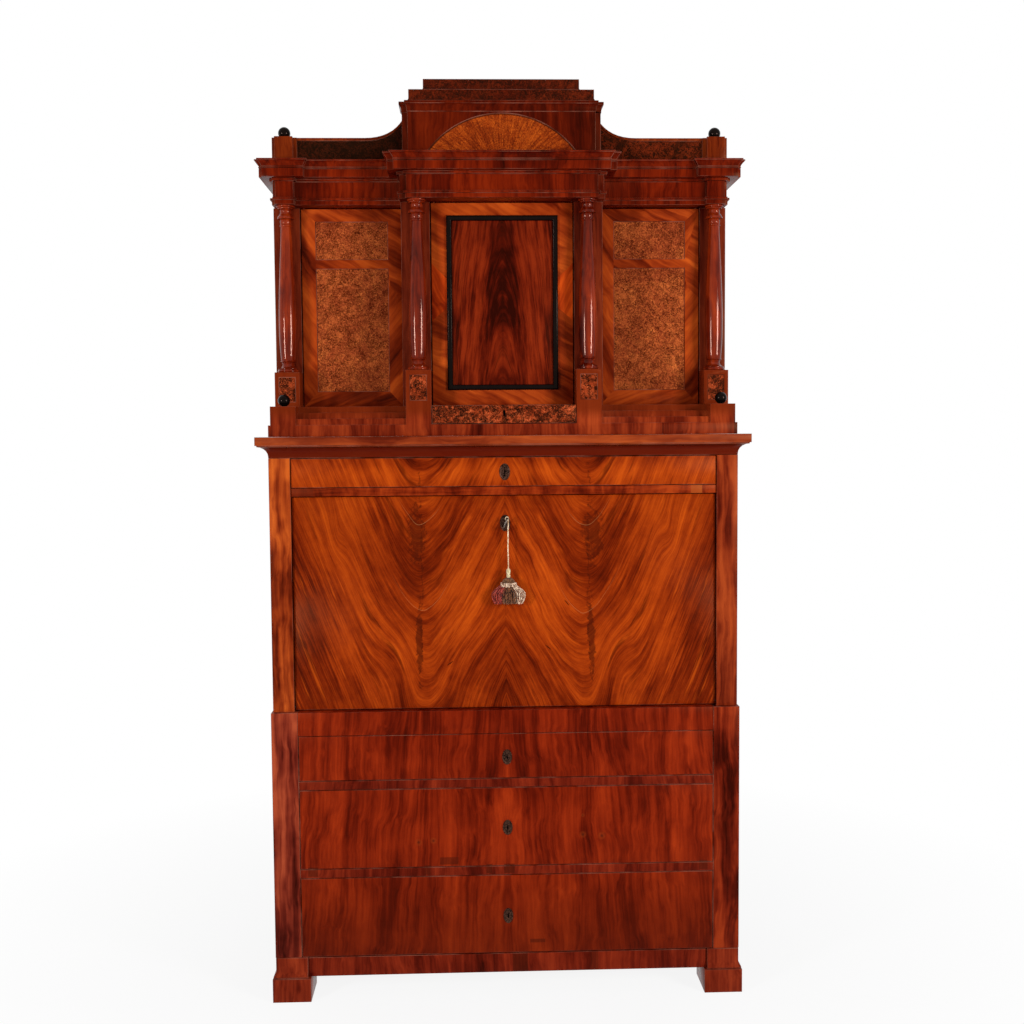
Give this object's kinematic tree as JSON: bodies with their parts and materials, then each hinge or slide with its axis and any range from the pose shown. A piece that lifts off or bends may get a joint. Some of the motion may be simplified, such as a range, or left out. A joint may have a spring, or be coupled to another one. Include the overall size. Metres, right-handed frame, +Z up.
{
  "type": "fall-front secretaire",
  "caption": "Tall fall-front writing cabinet on a chest of drawers, with a columned temple-front upper cabinet, stepped crest and key with tassel.",
  "frame": {"origin": "centre of the object's footprint box on the floor, under the middle of its overall width and depth", "axes": "+X to the right seen from the front, -Y towards the room (the front), +Z up"},
  "size_m": [1.219, 0.508, 2.2745],
  "materials": {
    "mahogany": "french polished",
    "mahogany_pale": "french polished",
    "burr": "french polished burr veneer",
    "secondary_wood": "planed and unpolished",
    "ebonised": "black polish",
    "brass": "worn and toned",
    "iron": "dark and worn",
    "leather": "worn writing leather",
    "cord": "twisted silk",
    "tassel": "silk yarn"
  },
  "bodies": {
    "cabinet": {"base_side_left": "mahogany", "base_side_right": "mahogany", "base_back": "secondary_wood", "base_floor": "secondary_wood", "base_top": "mahogany", "base_rail_upper": "mahogany", "base_rail_lower": "mahogany", "base_apron": "mahogany", "front_foot_left": "mahogany", "front_foot_right": "mahogany", "rear_foot_left": "mahogany", "rear_foot_right": "mahogany", "desk_side_left": "mahogany", "desk_side_right": "mahogany", "desk_back": "secondary_wood", "desk_cornice": "mahogany", "desk_rail": "mahogany", "writing_floor": "mahogany", "interior_case": "mahogany_pale", "upper_plinth": "mahogany", "upper_carcass": "mahogany", "column_outer_left": "mahogany", "column_inner_left": "mahogany", "column_outer_right": "mahogany", "column_inner_right": "mahogany", "entablature": "mahogany", "pediment": "mahogany", "crest": "burr", "gallery_left": "burr", "gallery_right": "burr", "ball_left": "ebonised", "ball_right": "ebonised", "finial_left": "ebonised", "finial_right": "ebonised"},
    "base_drawer_1": {"base_drawer_1_front": "mahogany", "base_drawer_1_box": "secondary_wood"},
    "base_drawer_2": {"base_drawer_2_front": "mahogany", "base_drawer_2_box": "secondary_wood"},
    "base_drawer_3": {"base_drawer_3_front": "mahogany", "base_drawer_3_box": "secondary_wood"},
    "top_drawer": {"top_drawer_front": "mahogany", "top_drawer_box": "secondary_wood"},
    "flap": {"flap_panel": "mahogany", "flap_arm_left": "iron", "flap_arm_right": "iron", "flap_lock_case": "brass"},
    "lock_bolt": {"flap_lock_bolt": "iron"},
    "lock_key": {"key": "iron"},
    "cord_knot": {"cord_hitch": "cord"},
    "hanging_tassel": {"key_cord": "cord", "tassel": "tassel"},
    "small_drawer_left_1": {"interior_drawer_left_1": "mahogany_pale"},
    "small_drawer_left_2": {"interior_drawer_left_2": "mahogany_pale"},
    "small_drawer_right_1": {"interior_drawer_right_1": "mahogany_pale"},
    "small_drawer_right_2": {"interior_drawer_right_2": "mahogany_pale"},
    "middle_drawer": {"plinth_drawer": "burr"},
    "left_door": {"door_left": "mahogany_pale"},
    "right_door": {"door_right": "mahogany_pale"},
    "center_door": {"door_center": "mahogany", "center_door_moulding": "ebonised"}
  },
  "joints": [
    {"name": "base_drawer_1_slide", "type": "slide", "parent": "cabinet", "child": "base_drawer_1", "axis": [0, -1, 0], "range_m": [0, 0.34]},
    {"name": "base_drawer_2_slide", "type": "slide", "parent": "cabinet", "child": "base_drawer_2", "axis": [0, -1, 0], "range_m": [0, 0.34]},
    {"name": "base_drawer_3_slide", "type": "slide", "parent": "cabinet", "child": "base_drawer_3", "axis": [0, -1, 0], "range_m": [0, 0.34]},
    {"name": "top_drawer_slide", "type": "slide", "parent": "cabinet", "child": "top_drawer", "axis": [0, -1, 0], "range_m": [0, 0.33]},
    {"name": "flap_hinge", "type": "hinge", "parent": "cabinet", "child": "flap", "pos_m": [0, -0.211, 0.7365], "axis": [1, 0, 0], "range_deg": [0, 90]},
    {"name": "key_turn", "type": "hinge", "parent": "flap", "child": "lock_key", "pos_m": [0, -0.218, 1.19], "axis": [0, 1, 0], "range_deg": [0, 180]},
    {"name": "lock_bolt_slide", "type": "slide", "parent": "flap", "child": "lock_bolt", "axis": [0, 0, 1], "range_m": [0, 0.008]},
    {"name": "hitch_turn", "type": "hinge", "parent": "lock_key", "child": "cord_knot", "pos_m": [0.00438, -0.237, 1.20203], "axis": [0, 1, 0], "range_deg": [-180, 0]},
    {"name": "tassel_swing", "type": "hinge", "parent": "cord_knot", "child": "hanging_tassel", "pos_m": [0.00438, -0.237, 1.20203], "axis": [1, 0, 0], "range_deg": [-90, 0]},
    {"name": "small_drawer_left_1_slide", "type": "slide", "parent": "cabinet", "child": "small_drawer_left_1", "axis": [0, -1, 0], "range_m": [0, 0.09]},
    {"name": "small_drawer_left_2_slide", "type": "slide", "parent": "cabinet", "child": "small_drawer_left_2", "axis": [0, -1, 0], "range_m": [0, 0.09]},
    {"name": "small_drawer_right_1_slide", "type": "slide", "parent": "cabinet", "child": "small_drawer_right_1", "axis": [0, -1, 0], "range_m": [0, 0.09]},
    {"name": "small_drawer_right_2_slide", "type": "slide", "parent": "cabinet", "child": "small_drawer_right_2", "axis": [0, -1, 0], "range_m": [0, 0.09]},
    {"name": "middle_drawer_slide", "type": "slide", "parent": "cabinet", "child": "middle_drawer", "axis": [0, -1, 0], "range_m": [0, 0.22]},
    {"name": "left_door_hinge", "type": "hinge", "parent": "cabinet", "child": "left_door", "pos_m": [-0.5005, -0.0677, 1.48], "axis": [0, 0, -1], "range_deg": [0, 90]},
    {"name": "right_door_hinge", "type": "hinge", "parent": "cabinet", "child": "right_door", "pos_m": [0.5005, -0.0677, 1.48], "axis": [0, 0, 1], "range_deg": [0, 90]},
    {"name": "center_door_hinge", "type": "hinge", "parent": "cabinet", "child": "center_door", "pos_m": [-0.1695, -0.1517, 1.48], "axis": [0, 0, -1], "range_deg": [0, 80]}
  ],
  "couplings": [
    {"joint": "lock_bolt_slide", "follows": "key_turn", "m_per_rad": 0.002546},
    {"joint": "hitch_turn", "follows": "key_turn", "ratio": -1},
    {"joint": "tassel_swing", "follows": "flap_hinge", "ratio": -1}
  ]
}
